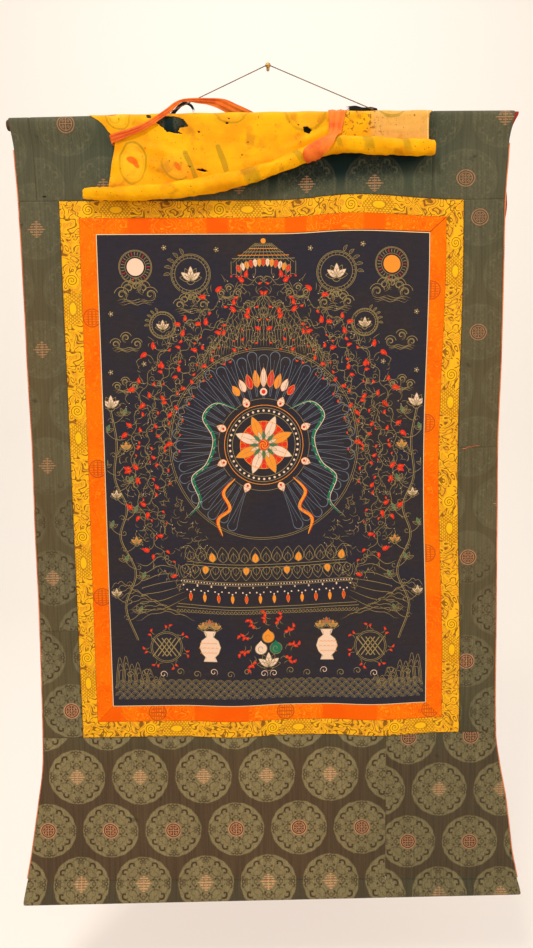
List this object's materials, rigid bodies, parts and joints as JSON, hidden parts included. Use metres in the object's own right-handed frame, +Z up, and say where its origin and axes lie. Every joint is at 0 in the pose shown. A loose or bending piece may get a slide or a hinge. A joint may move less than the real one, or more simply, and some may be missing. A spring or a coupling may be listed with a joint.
{
  "type": "thangka scroll painting with its rods, hanging cord and wall nail",
  "caption": "Painted scroll in a brocade mount with two rods, a rolled silk cover, ribbons and a cord, hung from a wall nail.",
  "frame": {"origin": "centre of the nail's back end, where it enters the wall", "axes": "+Z up, +X to the viewer's right, -Y towards the viewer; the wall is the plane y = 0"},
  "size_m": [1.0423, 0.0636, 1.6766],
  "materials": {
    "green_brocade": "matt silk brocade with paler roundels",
    "yellow_brocade": "satin brocade with brown scrollwork",
    "orange_brocade": "satin brocade with paler flower roundels",
    "painted_canvas": "matt painted cotton canvas",
    "red_lining": "plain woven cotton",
    "edge_binding": "twisted silk piping",
    "cover_silk": "thin printed silk, worn and torn",
    "orange_ribbon": "soft silk ribbon",
    "dark_tie": "dark cotton tape",
    "brown_cord": "two-ply twine",
    "rod_wood": "dark stained wood",
    "nail_brass": "tarnished brass"
  },
  "bodies": {
    "root": {"heading_left_end": "green_brocade", "heading_middle": "green_brocade", "heading_right_end": "green_brocade", "side_left_upper": "green_brocade", "side_left_lower": "green_brocade", "side_right_upper": "green_brocade", "side_right_lower": "green_brocade", "bottom_panel": "green_brocade", "bottom_patch": "green_brocade", "yellow_border_top": "yellow_brocade", "yellow_border_bottom": "yellow_brocade", "yellow_border_left": "yellow_brocade", "yellow_border_right": "yellow_brocade", "orange_border_top": "orange_brocade", "orange_border_bottom": "orange_brocade", "orange_border_left": "orange_brocade", "orange_border_right": "orange_brocade", "picture": "painted_canvas", "lining": "red_lining", "binding_left": "edge_binding", "binding_right": "edge_binding", "top_rod": "rod_wood", "bottom_rod": "rod_wood", "dust_cover": "cover_silk", "ribbon_left": "orange_ribbon", "ribbon_right": "orange_ribbon", "tie_left": "dark_tie", "tie_right": "dark_tie", "hanging_cord": "brown_cord", "wall_nail": "nail_brass"}
  },
  "joints": []
}
